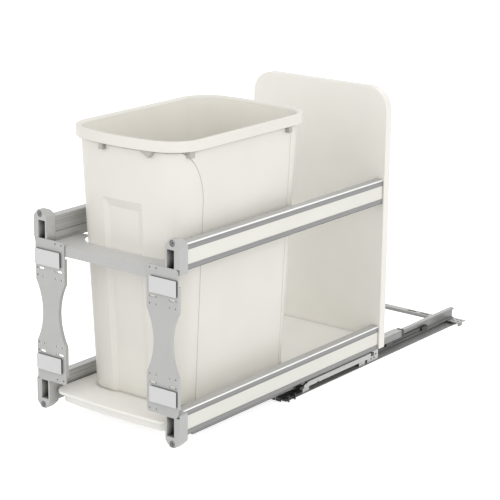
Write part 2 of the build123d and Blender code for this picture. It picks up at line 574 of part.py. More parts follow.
def cage_end():
    """Black end piece of the guide cage."""
    body = block(CAGE_IN, CAGE_PAD_OUT, CAGE_BACK - CAGE_PAD_L, CAGE_BACK, CAGE_LOW, CAGE_HIGH)
    corners = body.edges().filter_by(Axis.Z).group_by(Axis.Y)[-1]
    return chamfer(corners, SHEET)


def runner():
    """Channel under the carriage that wraps the middle member."""
    section = rect(RUNNER_IN, RUNNER_OUT, RUNNER_LOW, RUNNER_TOP)
    section -= rect(RUNNER_IN + SHEET, RUNNER_OUT - SHEET, RUNNER_LOW + SHEET, RUNNER_TOP - SHEET)
    section -= rect(RUNNER_LIP_IN, RUNNER_LIP_OUT, RUNNER_LOW, RUNNER_LOW + SHEET)
    section += rect(RUNNER_OUT, RAIL_IN, RUNNER_TOP - SHEET, RUNNER_TOP)
    body = along_y(section, RUNNER_FRONT, RUNNER_BACK)
    trigger = block(RUNNER_OUT, TRIGGER_OUT, TRIGGER_FRONT, TRIGGER_BACK, TRIGGER_LOW, TRIGGER_HIGH)
    return body + trigger


def runner_glide():
    """Low-friction strip under the runner's top, which rides on the middle member."""
    y0 = RUNNER_FRONT + GLIDE_END
    return block(BEAD_IN, BEAD_OUT, y0, RUNNER_GLIDE_BACK, MID_HIGH + RUN_GAP, RUNNER_TOP - SHEET)


def damper_housing():
    """Sheet housing of the soft-close unit, on two legs and with a drilled tail."""
    side = outline(
        (HOUSE_FRONT, HOUSE_LOW),
        (HOUSE_BACK, HOUSE_LOW),
        (HOUSE_BACK, HOUSE_HIGH),
        (HOUSE_FRONT + HOUSE_NOSE_L, HOUSE_HIGH),
        (HOUSE_FRONT, HOUSE_HIGH - HOUSE_NOSE_H),
    )
    notch = outline(
        (NOTCH_Y - NOTCH_L / 2, HOUSE_LOW),
        (NOTCH_Y + NOTCH_L / 2, HOUSE_LOW),
        (NOTCH_Y + NOTCH_L / 2, HOUSE_LOW + NOTCH_H),
    )
    shell = along_x(side, HOUSE_IN, HOUSE_OUT)
    shell -= block(
        HOUSE_IN + HOUSE_WALL,
        HOUSE_OUT - HOUSE_WALL,
        HOUSE_FRONT,
        HOUSE_BACK,
        HOUSE_LOW + HOUSE_WALL,
        HOUSE_HIGH - HOUSE_WALL,
    )
    shell -= along_x(notch, HOUSE_OUT - HOUSE_WALL, HOUSE_OUT)
    ceiling = HOUSE_HIGH - HOUSE_WALL
    shell -= block(SLOT_TOP_IN, SLOT_TOP_OUT, SLOT_TOP_FRONT, SLOT_TOP_BACK, ceiling, HOUSE_HIGH)
    for y in LEG_YS:
        shell += block(HOUSE_IN, HOUSE_IN + HOUSE_WALL, y, y + LEG_L, SHEET, HOUSE_LOW)
    tail = block(HOUSE_IN, HOUSE_IN + HOUSE_WALL, HOUSE_BACK, TAIL_BACK, SHEET, TAIL_HIGH)
    for y, z in TAIL_HOLES:
        tail -= along_x(Pos(y, z) * Circle(TAIL_HOLE_R), HOUSE_IN, HOUSE_IN + HOUSE_WALL)
    return shell + tail


def damper_front_end():
    """Plastic nose of the soft-close housing."""
    profile = outline(
        (END_FRONT, HOUSE_LOW),
        (HOUSE_FRONT, HOUSE_LOW),
        (HOUSE_FRONT, HOUSE_HIGH - HOUSE_NOSE_H),
        (END_FRONT, HOUSE_LOW + END_TIP_H),
    )
    return along_x(profile, HOUSE_IN, HOUSE_OUT)


def damper_rear_end():
    """Plastic plug at the back of the soft-close housing."""
    plug = block(
        HOUSE_IN + HOUSE_WALL,
        HOUSE_OUT - HOUSE_WALL,
        HOUSE_BACK - END_GRIP,
        END_BACK,
        HOUSE_LOW + HOUSE_WALL,
        HOUSE_HIGH - HOUSE_WALL,
    )
    return plug


def damper_cylinder():
    """Damper tube inside the housing, closed at the back."""
    tube = rod_y(CYL_X, CYL_Z, CYL_R, CYL_FRONT, CYL_BACK)
    return tube - rod_y(CYL_X, CYL_Z, CYL_BORE, CYL_FRONT, CYL_BACK - CYL_END)


def soft_close_catch():
    """Sliding catch with its finger and piston rod."""
    body = block(
        HOUSE_IN + HOUSE_WALL + CATCH_GAP,
        HOUSE_OUT - HOUSE_WALL - CATCH_GAP,
        CATCH_FRONT,
        CATCH_BACK,
        HOUSE_LOW + HOUSE_WALL + CATCH_GAP,
        HOUSE_HIGH - HOUSE_WALL - CATCH_GAP,
    )
    finger_low = HOUSE_HIGH - HOUSE_WALL - CATCH_GAP
    body += block(FINGER_IN, FINGER_OUT, FINGER_FRONT, FINGER_BACK, finger_low, FINGER_TOP)
    return body + rod_y(CYL_X, CYL_Z, ROD_R, CATCH_BACK, ROD_BACK)


# ---------------------------------------------------------------- base cross members and feet
def front_cross_plate():
    """Plate that joins the two cabinet members at the front."""
    plate = block(-WEB_IN, WEB_IN, CROSS_FRONT, CROSS_BACK, CROSS_LOW, CROSS_TOP)
    plate += block(-WEB_IN, WEB_IN, CROSS_FRONT, CROSS_FRONT + SHEET, 0, CROSS_LOW)
    return plate + block(-WEB_IN, WEB_IN, CROSS_BACK - SHEET, CROSS_BACK, 0, CROSS_LOW)


def front_foot():
    """Outer foot with two upright lugs."""
    foot = block(WEB_OUT, FOOT_PLATE_OUT, CROSS_FRONT, CROSS_BACK, CROSS_LOW, CROSS_TOP)
    foot += block(WEB_OUT, LUG_IN, CROSS_FRONT, CROSS_FRONT + SHEET, 0, CROSS_LOW)
    lug = outline((LUG_IN, CROSS_LOW), (FOOT_OUT, LUG_LOW), (FOOT_OUT, LUG_HIGH), (LUG_IN, CROSS_TOP))
    x, z, radius = LUG_HOLE
    lug -= Pos(x, z) * Circle(radius)
    member_flange = block(WEB_OUT, MEMBER_FLANGE_OUT, MEMBER_FRONT, CROSS_BACK, 0, SHEET)
    for y in FOOT_LUG_YS:
        foot += along_y(lug, y, y + SHEET)
    for y in FOOT_HOLE_YS:
        foot -= along_z(Pos(FLOOR_HOLE_X, y) * Circle(FOOT_HOLE_R), CROSS_LOW, CROSS_TOP)
    return foot - member_flange


def rear_foot():
    """Drilled plate at the back of a cabinet member, on two turned-down edges."""
    foot = block(WEB_OUT, REAR_FOOT_OUT, REAR_FOOT_FRONT, MEMBER_BACK, CROSS_LOW, CROSS_TOP)
    foot += block(REAR_FOOT_OUT - SHEET, REAR_FOOT_OUT, REAR_FOOT_FRONT, REAR_TAB_BACK, 0, CROSS_LOW)
    foot += block(WEB_OUT, WEB_OUT + SHEET, REAR_FOOT_FRONT, MEMBER_BACK, SHEET, CROSS_LOW)
    for x, y in REAR_HOLES:
        foot -= along_z(Pos(x, y) * Circle(TAIL_HOLE_R), CROSS_LOW, CROSS_TOP)
    return foot


def rear_cross_channel():
    """Formed channel that joins the two cabinet members at the back."""
    channel = block(-WEB_IN, WEB_IN, CHANNEL_FRONT, CHANNEL_BACK, CHANNEL_TOP - SHEET, CHANNEL_TOP)
    channel += block(-WEB_IN, WEB_IN, CHANNEL_FRONT, CHANNEL_FRONT + SHEET, CHANNEL_LOW, CHANNEL_TOP)
    channel += block(-WEB_IN, WEB_IN, CHANNEL_BACK - SHEET, CHANNEL_BACK, CHANNEL_LOW, CHANNEL_TOP)
    middle = (CHANNEL_FRONT + CHANNEL_BACK) / 2
    for x in CHANNEL_SLOTS:
        slot = Pos(x, middle) * SlotOverall(CHANNEL_SLOT_L, CHANNEL_SLOT_W)
        channel -= along_z(slot, CHANNEL_TOP - SHEET, CHANNEL_TOP)
    return channel


# ---------------------------------------------------------------- assembly and export
parts = {}


def pair(name, shape):
    """Keep the right part and its mirrored left twin."""
    parts[name + "_right"] = shape
    parts[name + "_left"] = left_of(shape)


def group(name, shapes):
    """Keep identical right-hand pieces and their mirrored twins in one node."""
    parts[name] = Compound(shapes + [left_of(shape) for shape in shapes])


pair("cabinet_member", cabinet_member())
pair("front_foot", front_foot())
pair("rear_foot", rear_foot())
pair("damper_housing", damper_housing())
pair("damper_nose", damper_front_end())
pair("damper_plug", damper_rear_end())
pair("damper_cylinder", damper_cylinder())
pair("soft_close_catch", soft_close_catch())
parts["front_cross_plate"] = front_cross_plate()
parts["rear_cross_channel"] = rear_cross_channel()

pair("middle_member", middle_member())
pair("mid_glide", mid_glide())
pair("mid_end_block", mid_end_block())
pair("guide_cage", guide_cage())
pair("cage_end", cage_end())

pair("runner", runner())
pair("runner_glide", runner_glide())
pair("upper_rail", rail(UP_Z))
pair("lower_rail", rail(LOW_Z))
pair("upper_insert", rail_insert(UP_Z))
pair("lower_insert", rail_insert(LOW_Z))
pair("upper_cap", front_cap(UP_Z, 1, BRACKET_HIGH))
pair("lower_cap", front_cap(LOW_Z, -1, BRACKET_LOW))
pair("door_bracket", door_bracket())
for level, pad_z in zip(("lower", "upper"), PAD_ZS):
    pair(level + "_pad", door_pad(pad_z))
parts["cross_shelf"] = cross_shelf()
parts["back_panel"] = back_panel()
parts["base_tray"] = base_tray()
parts["waste_bin"] = waste_bin()

group("pad_liners", [pad_liner(z) for z in PAD_ZS])
group("cap_screws", [cap_screw(UP_Z, 1), cap_screw(LOW_Z, -1)])
group("panel_screws", [panel_screw(x, z) for x, z in rail_ports()])
group("shelf_screws", [shelf_screw(x) for x in SHELF_SCREW_XS])

os.makedirs("parts", exist_ok=True)
for name, shape in parts.items():
    export_step(Pos(0, -ORIGIN_Y, 0) * shape, f"parts/{name}.step")
    print(name, round(shape.volume, 1), len(shape.solids()))
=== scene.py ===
"""Looks of the pull-out waste unit: materials, small visual pieces, studio and camera.

Lengths are metres in the CAD's frame, except where the bin is shaped, which is done in the
CAD source's millimetres. The unit stands on the floor plane at z = 0, with the door side at -Y.
"""

import json  # noqa: E402
import math  # noqa: E402

import bmesh  # noqa: E402
import bpy  # noqa: E402
import numpy as np  # noqa: E402
from mathutils import Matrix, Vector  # noqa: E402

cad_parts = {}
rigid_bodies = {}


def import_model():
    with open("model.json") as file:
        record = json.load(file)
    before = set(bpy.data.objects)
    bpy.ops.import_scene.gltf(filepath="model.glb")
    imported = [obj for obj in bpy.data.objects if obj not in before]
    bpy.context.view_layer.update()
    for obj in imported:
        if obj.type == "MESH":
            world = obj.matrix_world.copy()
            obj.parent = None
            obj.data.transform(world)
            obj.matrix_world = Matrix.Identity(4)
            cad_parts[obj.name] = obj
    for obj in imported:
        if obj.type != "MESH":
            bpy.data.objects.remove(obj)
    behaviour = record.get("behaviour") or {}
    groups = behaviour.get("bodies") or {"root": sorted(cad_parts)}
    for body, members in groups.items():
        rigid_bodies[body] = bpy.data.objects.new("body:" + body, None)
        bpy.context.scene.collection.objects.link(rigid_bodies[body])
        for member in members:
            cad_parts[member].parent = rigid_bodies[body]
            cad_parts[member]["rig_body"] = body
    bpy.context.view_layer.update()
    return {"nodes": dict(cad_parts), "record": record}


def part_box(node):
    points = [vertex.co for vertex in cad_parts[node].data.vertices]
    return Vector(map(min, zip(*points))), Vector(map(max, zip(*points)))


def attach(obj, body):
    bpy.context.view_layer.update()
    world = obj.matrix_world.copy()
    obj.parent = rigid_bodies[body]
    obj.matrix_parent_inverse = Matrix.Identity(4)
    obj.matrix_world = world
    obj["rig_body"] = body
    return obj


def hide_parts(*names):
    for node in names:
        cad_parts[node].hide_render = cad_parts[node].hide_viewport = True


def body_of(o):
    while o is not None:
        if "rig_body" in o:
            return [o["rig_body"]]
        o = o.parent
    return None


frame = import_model()
NODES = frame["nodes"]
SCENE = bpy.context.scene


# ---------------------------------------------------------------- node helpers
NOISE_LOW, NOISE_HIGH, NOISE_ROUGHNESS = 0.3, 0.7, 0.55    # nearly all noise lies between low and high
MIX_A, MIX_B, MIX_RESULT = 6, 7, 2                         # the colour sockets of a Mix node
EDGE_SAMPLES, EDGE_RADIUS, EDGE_BENT = 4, 0.0004, 0.7      # bent: the cosine that counts as a full edge
GAP_SAMPLES, GAP_CLOSED, GAP_OPEN = 6, 0.25, 0.95


def math_node(tree, op, *values):
    """A math node in a node tree, fed by numbers or by other nodes' outputs."""
    n = tree.nodes.new("ShaderNodeMath")
    n.operation = op
    for socket, value in zip(n.inputs, values):
        if isinstance(value, (int, float)):
            socket.default_value = value
        else:
            tree.links.new(value, socket)
    return n.outputs[0]


def seen_directly(tree):
    """1 for camera, reflected and see-through rays, 0 for the rays that light the unit."""
    path = tree.nodes.new("ShaderNodeLightPath")
    seen = math_node(tree, "MAXIMUM", path.outputs["Is Camera Ray"], path.outputs["Is Glossy Ray"])
    return math_node(tree, "MAXIMUM", seen, path.outputs["Is Transmission Ray"])


class Graph:
    """A material's node tree, with short calls for the nodes used here."""

    def __init__(self, name):
        self.mat = bpy.data.materials.new(name)
        self.mat.use_nodes = True
        self.tree = self.mat.node_tree
        self.nodes = self.tree.nodes
        self.bsdf = self.nodes["Principled BSDF"]
        self.out = self.nodes["Material Output"]
        self.coord = self.nodes.new("ShaderNodeTexCoord")

    def link(self, a, b):
        self.tree.links.new(a, b)

    def mapped(self, stretch):
        """Object coordinates (the CAD frame, in metres) stretched along each axis."""
        m = self.nodes.new("ShaderNodeMapping")
        m.inputs["Scale"].default_value = stretch
        self.link(self.coord.outputs["Object"], m.inputs["Vector"])
        return m.outputs["Vector"]

    def noise(self, scale, stretch=(1, 1, 1), detail=3.0):
        n = self.nodes.new("ShaderNodeTexNoise")
        n.inputs["Scale"].default_value = scale
        n.inputs["Detail"].default_value = detail
        n.inputs["Roughness"].default_value = NOISE_ROUGHNESS
        self.link(self.mapped(stretch), n.inputs["Vector"])
        return n.outputs["Fac"]

    def voronoi(self, scale):
        n = self.nodes.new("ShaderNodeTexVoronoi")
        n.inputs["Scale"].default_value = scale
        self.link(self.mapped((1, 1, 1)), n.inputs["Vector"])
        return n.outputs["Distance"]

    def remap(self, value, low, high, from_low=NOISE_LOW, from_high=NOISE_HIGH):
        n = self.nodes.new("ShaderNodeMapRange")
        n.inputs["From Min"].default_value = from_low
        n.inputs["From Max"].default_value = from_high
        n.inputs["To Min"].default_value = low
        n.inputs["To Max"].default_value = high
        self.link(value, n.inputs["Value"])
        return n.outputs["Result"]

    def math(self, op, *values):
        return math_node(self.tree, op, *values)

    def mix(self, share, a, b):
        """Blend of two colours, each a tuple or another node's output."""
        n = self.nodes.new("ShaderNodeMix")
        n.data_type = "RGBA"
        self.link(share, n.inputs["Factor"])
        for socket, color in ((n.inputs[MIX_A], a), (n.inputs[MIX_B], b)):
            if isinstance(color, tuple):
                socket.default_value = (*color, 1.0)
            else:
                self.link(color, socket)
        return n.outputs[MIX_RESULT]

    def edges(self):
        """How near a convex edge a point is (0 on a flat, 1 on an edge), and the rounded normal."""
        b = self.nodes.new("ShaderNodeBevel")
        b.samples = EDGE_SAMPLES
        b.inputs["Radius"].default_value = EDGE_RADIUS
        g = self.nodes.new("ShaderNodeNewGeometry")
        d = self.nodes.new("ShaderNodeVectorMath")
        d.operation = "DOT_PRODUCT"
        self.link(b.outputs["Normal"], d.inputs[0])
        self.link(g.outputs["Normal"], d.inputs[1])
        return self.remap(d.outputs["Value"], 1.0, 0.0, EDGE_BENT, 1.0), b.outputs["Normal"]

    def open_to_light(self, distance, low):
        """Shade factor: 1 in the open, down to low in corners, gaps and holes."""
        n = self.nodes.new("ShaderNodeAmbientOcclusion")
        n.samples = GAP_SAMPLES
        n.inputs["Distance"].default_value = distance
        return self.remap(n.outputs["AO"], low, 1.0, GAP_CLOSED, GAP_OPEN)

    def dim(self, color, factor):
        """A colour times a shade factor."""
        n = self.nodes.new("ShaderNodeVectorMath")
        n.operation = "SCALE"
        self.link(color, n.inputs[0])
        self.link(factor, n.inputs["Scale"])
        return n.outputs["Vector"]

    def axis(self, name):
        """One of the object's coordinates, in metres."""
        n = self.nodes.new("ShaderNodeSeparateXYZ")
        self.link(self.coord.outputs["Object"], n.inputs[0])
        return n.outputs[name]

    def between(self, value, low, high, soft):
        """1 where a value lies between two limits, 0 outside, with soft flanks."""
        rise = self.remap(value, 0.0, 1.0, low - soft, low + soft)
        fall = self.remap(value, 1.0, 0.0, high - soft, high + soft)
        return self.math("MULTIPLY", rise, fall)

    def facing_up(self):
        """How far a face looks upwards: 0 for an upright face, 1 for a level one."""
        g = self.nodes.new("ShaderNodeNewGeometry")
        n = self.nodes.new("ShaderNodeSeparateXYZ")
        self.link(g.outputs["Normal"], n.inputs[0])
        return n.outputs["Z"]

    def bump(self, height, strength, distance, normal):
        n = self.nodes.new("ShaderNodeBump")
        n.inputs["Strength"].default_value = strength
        n.inputs["Distance"].default_value = distance
        self.link(height, n.inputs["Height"])
        self.link(normal, n.inputs["Normal"])
        self.link(n.outputs["Normal"], self.bsdf.inputs["Normal"])

    def put(self, socket, value):
        """Set a socket of the surface shader to a number, or link another node's output to it."""
        if isinstance(value, (int, float)):
            self.bsdf.inputs[socket].default_value = value
        else:
            self.link(value, self.bsdf.inputs[socket])


def shade(color, k):
    return tuple(c * k for c in color)


# plastic: flow marks are large and faint, the grain is what the mould's surface leaves; edges are
# paler, partly wear and partly a painted highlight
FLOW_SCALE, FLOW_MARKS, FLOW_ROUGH = 9.0, 0.03, 0.04
GRAIN_ROUGH, GRAIN_BUMP, PLASTIC_WEAR_AND_HIGHLIGHT = 0.03, 0.35, 0.5
# metal: drawn lines, an uneven polish, the flecks of a zinc coat, and paler edges that are partly wear
# and partly a painted highlight
LINE_DARK, LINE_PALE, LINE_ROUGH, LINE_BUMP, LINE_DEPTH = 0.9, 1.06, 0.05, 0.3, 0.00001
POLISH_SCALE, POLISH_SHARE, POLISH_SHADE, POLISH_SMOOTH, POLISH_DULL = 22.0, 0.5, 0.93, -0.04, 0.05
FLECK_SCALE, FLECK_CORE, FLECK_RIM, FLECK_SHADE = 420.0, 0.05, 0.28, 1.35
METAL_WEAR_AND_HIGHLIGHT, METAL_WORN_AND_HIGHLIT = 0.6, 1.25


def plastic(name, color, rough, grain=2600.0, grain_depth=0.00002, wear_and_highlight=1.06, gap=0.006,
            gap_shade=0.6):
    """Moulded plastic: fine spark-eroded grain, faint flow marks, paler edges that are partly wear and
    partly a painted highlight, and painted shade in gaps.
    """
    g = Graph(name)
    flow = g.noise(FLOW_SCALE, detail=2.0)
    near_edge, normal = g.edges()
    base = g.mix(g.remap(flow, 0.0, 1.0), shade(color, 1 - FLOW_MARKS),
                 shade(color, 1 + FLOW_MARKS / 2))
    # edges paler: partly wear, partly a painted highlight
    base = g.mix(g.math("MULTIPLY", near_edge, PLASTIC_WEAR_AND_HIGHLIGHT), base, shade(color, wear_and_highlight))
    # painted shade: the colour darkens in corners and gaps
    g.put("Base Color", g.dim(base, g.open_to_light(gap, gap_shade)))
    fine = g.noise(grain, detail=2.0)
    g.put("Roughness", g.math("ADD", g.remap(flow, -FLOW_ROUGH, FLOW_ROUGH),
                              g.remap(fine, rough - GRAIN_ROUGH, rough + GRAIN_ROUGH)))
    g.bump(fine, GRAIN_BUMP, grain_depth, normal)
    return g.mat


def metal(name, color, rough, metallic, streak=(1, 0.02, 1), streak_scale=1800.0, spots=0.0,
          gap=0.006, gap_shade=0.5, zones=()):
    """Rolled, plated or anodised metal: drawn lines along one axis, uneven polish, paler edges that are
    partly wear and partly a painted highlight, and painted shade in gaps.

    zones are functions of the graph that return a mask and the colour it brings.
    """
    g = Graph(name)
    lines = g.noise(streak_scale, streak)
    polish = g.noise(POLISH_SCALE, detail=4.0)
    near_edge, normal = g.edges()
    base = g.mix(g.remap(lines, 0.0, 1.0), shade(color, LINE_DARK), shade(color, LINE_PALE))
    base = g.mix(g.remap(polish, 0.0, POLISH_SHARE), base, shade(color, POLISH_SHADE))
    if spots:
        fleck = g.remap(g.voronoi(FLECK_SCALE), 1.0, 0.0, FLECK_CORE, FLECK_RIM)
        base = g.mix(g.math("MULTIPLY", fleck, spots), base, shade(color, FLECK_SHADE))
    # edges paler: partly wear, partly a painted highlight
    base = g.mix(g.math("MULTIPLY", near_edge, METAL_WEAR_AND_HIGHLIGHT), base, shade(color, METAL_WORN_AND_HIGHLIT))
    for zone in zones:
        mask, zone_color = zone(g)
        base = g.mix(mask, base, zone_color)
    # painted shade: the colour darkens in corners and gaps
    g.put("Base Color", g.dim(base, g.open_to_light(gap, gap_shade)))
    g.put("Metallic", metallic)
    g.put("Roughness", g.math("ADD", g.remap(lines, rough - LINE_ROUGH, rough + LINE_ROUGH),
                              g.remap(polish, POLISH_SMOOTH, POLISH_DULL)))
    g.bump(lines, LINE_BUMP, LINE_DEPTH, normal)
    return g.mat


def coated_sheet(name, color, zones=()):
    """Satin sheet metal under a thin coat, without drawn lines."""
    return metal(name, color, 0.42, 0.15, streak=(1, 1, 1), streak_scale=900.0, gap=0.003,
                 zones=zones)


# ---------------------------------------------------------------- materials by record slot
WARM_WHITE = (0.775, 0.752, 0.695)
SATIN_GREY = (0.455, 0.457, 0.445)
RAIL_GREY = (0.345, 0.347, 0.34)
PAINTED_LIGHT_GREY = (0.50, 0.50, 0.49)

# a rail's faces by their distance from the unit's middle plane, and its painted highlight and painted
# gap-shadow lines by their height
RAIL_PITCH, RAIL_LOW, RAIL_HEIGHT = 0.2605, 0.030, 0.042
RAIL_INNER_X, RAIL_HIGHLIGHT_X, RAIL_OUTER_X, RAIL_TURN = 0.124, 0.1350, 0.1362, 0.0002
HIGHLIGHT_BAND = (RAIL_HEIGHT - 0.0022, RAIL_HEIGHT - 0.0002)
GAP_SHADOW_BAND = (-0.001, 0.0014)
LINE_FLANK = 0.0003
LEVEL_FROM, LEVEL_FULL = 0.5, 0.9         # how far a face looks upwards where it counts as level
STRIP_SCALE, STRIP_STRETCH, STRIP_SHARE = 420.0, (0.001, 0.001, 1.0), 0.3
STRIP_FROM, STRIP_FULL = 0.52, 0.62


def rail_height(g):
    """Height over a rail's lower edge, the same for the upper and the lower rails."""
    return g.math("SUBTRACT", g.math("MODULO", g.axis("Z"), RAIL_PITCH), RAIL_LOW)


def off_middle(g, inside, outside, limit):
    """One value nearer than a distance from the unit's middle plane, another value past it."""
    distance = g.math("ABSOLUTE", g.axis("X"))
    return g.remap(distance, inside, outside, limit - RAIL_TURN, limit + RAIL_TURN)


def level_face(g):
    return g.remap(g.facing_up(), 0.0, 1.0, LEVEL_FROM, LEVEL_FULL)


# inner faces drawn paler: painted light for faces that sit in shade
def rail_inner_face_painted_light(g):
    return off_middle(g, 1.0, 0.0, RAIL_INNER_X), PAINTED_LIGHT_GREY


# outer faces drawn darker: painted shade
def rail_outer_face_painted_shade(g):
    return off_middle(g, 0.0, 1.0, RAIL_OUTER_X), (0.25, 0.252, 0.248)


def rail_drawn_strips(g):
    strips = g.remap(g.noise(STRIP_SCALE, STRIP_STRETCH, detail=1.0), 0.0, 1.0, STRIP_FROM, STRIP_FULL)
    return g.math("MULTIPLY", strips, STRIP_SHARE), (0.14, 0.14, 0.14)


# level faces drawn paler: painted light from above
def rail_top_painted_light(g):
    return level_face(g), PAINTED_LIGHT_GREY


# a pale line along the outer top edge: painted highlight
def rail_painted_highlight(g):
    line = g.between(rail_height(g), *HIGHLIGHT_BAND, LINE_FLANK)
    return g.math("MULTIPLY", line, off_middle(g, 0.0, 1.0, RAIL_HIGHLIGHT_X)), (0.95, 0.95, 0.94)


# a dark line along the lower edge: painted shadow of the gap below
def rail_painted_gap_shadow(g):
    return g.between(rail_height(g), *GAP_SHADOW_BAND, LINE_FLANK), (0.07, 0.07, 0.07)


# the shelf's level faces drawn paler: painted light from above
def shelf_top_painted_light(g):
    return level_face(g), (0.60, 0.60, 0.59)


# the slides' level faces drawn paler: painted light
def slide_level_faces_painted_light(g):
    return level_face(g), (0.46, 0.46, 0.455)


RAIL_ZONES = (rail_inner_face_painted_light, rail_outer_face_painted_shade, rail_drawn_strips, rail_top_painted_light, rail_painted_highlight,
              rail_painted_gap_shadow)
MATERIALS = {
    "slide_steel": metal("zinc_plated_steel", (0.25, 0.25, 0.247), 0.34, 0.5, spots=0.5,
                         zones=(slide_level_faces_painted_light,)),
    "dark_steel": plastic("dark_coated_steel", (0.05, 0.05, 0.05), 0.42, grain=1500.0),
    "housing_metal": plastic("pale_coated_metal", (0.62, 0.62, 0.61), 0.42, grain=1800.0),
    "black_plastic": plastic("black_moulded_plastic", (0.018, 0.018, 0.018), 0.4, wear_and_highlight=2.2),
    "glide_plastic": plastic("dark_acetal", (0.06, 0.06, 0.06), 0.35, wear_and_highlight=1.5),
    "damper_tube": metal("turned_tube_steel", (0.5, 0.5, 0.5), 0.3, 0.9),
    "rail_grey": metal("anodised_rail", RAIL_GREY, 0.38, 0.3, zones=RAIL_ZONES),
    # cap pockets and holes darkened almost to black: painted shade
    "cap_grey": plastic("grey_cap_plastic", (0.47, 0.472, 0.46), 0.4, gap=0.014, gap_shade=0.02),
    "sheet_grey": coated_sheet("satin_coated_sheet", SATIN_GREY),
    "insert_pale": plastic("pale_strip_plastic", (0.755, 0.745, 0.69), 0.32, grain=1600.0,
                           gap=0.002),
    "pad_foam": plastic("dark_foam", (0.05, 0.05, 0.05), 0.9, grain=1300.0, grain_depth=0.0003,
                        wear_and_highlight=1.3),
    "pad_liner": plastic("peel_off_liner", (0.63, 0.635, 0.63), 0.38, grain=500.0,
                         grain_depth=0.00003),
    # board written paler than its own colour: painted light for its shaded places
    "panel_board": plastic("laminate_board", (0.86, 0.84, 0.785), 0.48, grain=1400.0, wear_and_highlight=1.03,
                           gap_shade=0.8),
    # tray written paler than its own colour: painted light for its shaded places
    "tray_plastic": plastic("tray_moulding", (0.88, 0.865, 0.82), 0.42, gap_shade=0.75),
    "bin_plastic": plastic("bin_moulding", WARM_WHITE, 0.44, gap=0.005, gap_shade=0.7),
    "screw_steel": metal("screw_zinc", (0.5, 0.5, 0.49), 0.28, 0.9),
}
SHELF = coated_sheet("satin_shelf_sheet", (0.47, 0.47, 0.46), (shelf_top_painted_light,))
# screw heads: painted shade in the cross slot and round the seat
CAP_SCREW = metal("blackened_screw", (0.22, 0.22, 0.22), 0.4, 0.6, gap=0.002, gap_shade=0.08)
# the side panel's crease faces drawn darker: painted shade in the crease
BIN_CREASE_SHADE = plastic("bin_moulding_crease_shade", shade(WARM_WHITE, 0.66), 0.5)
# the inside written paler than the outside: painted light
BIN_INSIDE_PAINTED_LIGHT = plastic("bin_moulding_inside_painted_light", shade(WARM_WHITE, 1.08), 0.44)
# ribs drawn darker, and the same material paints the skirt's shadow on the wall just under the rim
BIN_RIB_AND_SKIRT_SHADOW = plastic("bin_moulding_rib_and_skirt_shadow", shade(WARM_WHITE, 0.58), 0.5)
OWN_LOOK = {"cross_shelf": SHELF, "cap_screws": CAP_SCREW}

SLOT_OF = {s["node"]: s["material_slot"] for s in frame["record"]["subparts"]}
for node_name, node in NODES.items():
    node.data.materials.clear()
    node.data.materials.append(OWN_LOOK.get(node_name, MATERIALS[SLOT_OF[node_name]]))


# ---------------------------------------------------------------- pieces made here
MM = 0.001
DOOR_Y = 590.0            # the door's back plane is this far in front of the frame's origin
SHARP = math.radians(28)


def make_piece(name, bm, node_names, slot_name, extra=()):
    """Turn a bmesh into a piece that stands for CAD nodes and rides on their body."""
    bmesh.ops.recalc_face_normals(bm, faces=bm.faces[:])
    for face in bm.faces:
        face.smooth = True
    for edge in bm.edges:
        if len(edge.link_faces) == 2 and edge.calc_face_angle() > SHARP:
            edge.smooth = False
    mesh = bpy.data.meshes.new(name)
    bm.to_mesh(mesh)
    bm.free()
    piece = bpy.data.objects.new(name, mesh)
    SCENE.collection.objects.link(piece)
    for material in (MATERIALS[slot_name], *extra):
        mesh.materials.append(material)
    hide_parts(*node_names)
    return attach(piece, body_of(NODES[node_names[0]])[0])


def skin(bm, rings):
    """Closed skin through rings of equally many points, with its first and last ring filled."""
    rows = [[bm.verts.new(point) for point in ring] for ring in rings]
    for low, high in zip(rows, rows[1:]):
        for k in range(len(low)):
            n = (k + 1) % len(low)
            bm.faces.new((low[k], low[n], high[n], high[k]))
    bm.faces.new(rows[0])
    bm.faces.new(list(reversed(rows[-1])))


# The bin: the CAD bin's tapered plan, with a deeper pressed front panel and a thinner rolled rim.
# A plan is its half width, its front and back, its corner radius, and its front and back bow.
BIN_FLOOR, BIN_TOP, BIN_WALL, BIN_BASE = 51.0, 476.0, 2.4, 3.0
PLAN_LOW = np.array((91.5, 60.2, 348.8, 30.0, 4.0, 2.0))
PLAN_HIGH = np.array((110.4, 32.0, 374.0, 50.0, 20.0, 9.0))
PLAN_OUTWARD = np.array((1.0, -1.0, 1.0, 1.0, 0.0, 0.0))
BASE_INSET, BASE_EDGE_INSET, BASE_EDGE_Z, FLOOR_ROUND_R = 2.0, 0.6, 51.7, 5.0
RIM_OUT, RIM_H, RIM_SKIRT, RIM_TOP, RIM_EDGE_R, MOUTH_R = 7.0, 16.5, 2.4, 4.5, 2.2, 6.0
SKIRT_LOW, SKIRT_BREAK = BIN_TOP - RIM_H, 0.5
ARCH_HALF, ARCH_HIGH, ARCH_R, ARCH_DEPTH, ARCH_STEP = 39.0, 373.5, 4.0, 5.5, 0.3
ARCH_SIDE_SLOPE, ARCH_TOP_SLOPE, ARCH_INSIDE_GROW = 9.5, 14.0, 0.6
SIDE_DEPTH, SIDE_FRONT, SIDE_BACK, SIDE_BEND = 1.0, 104.5, 322.0, 372.0
SIDE_R, SIDE_STEP, CREASE_WIDTH = 105.0, 0.5, 2.9

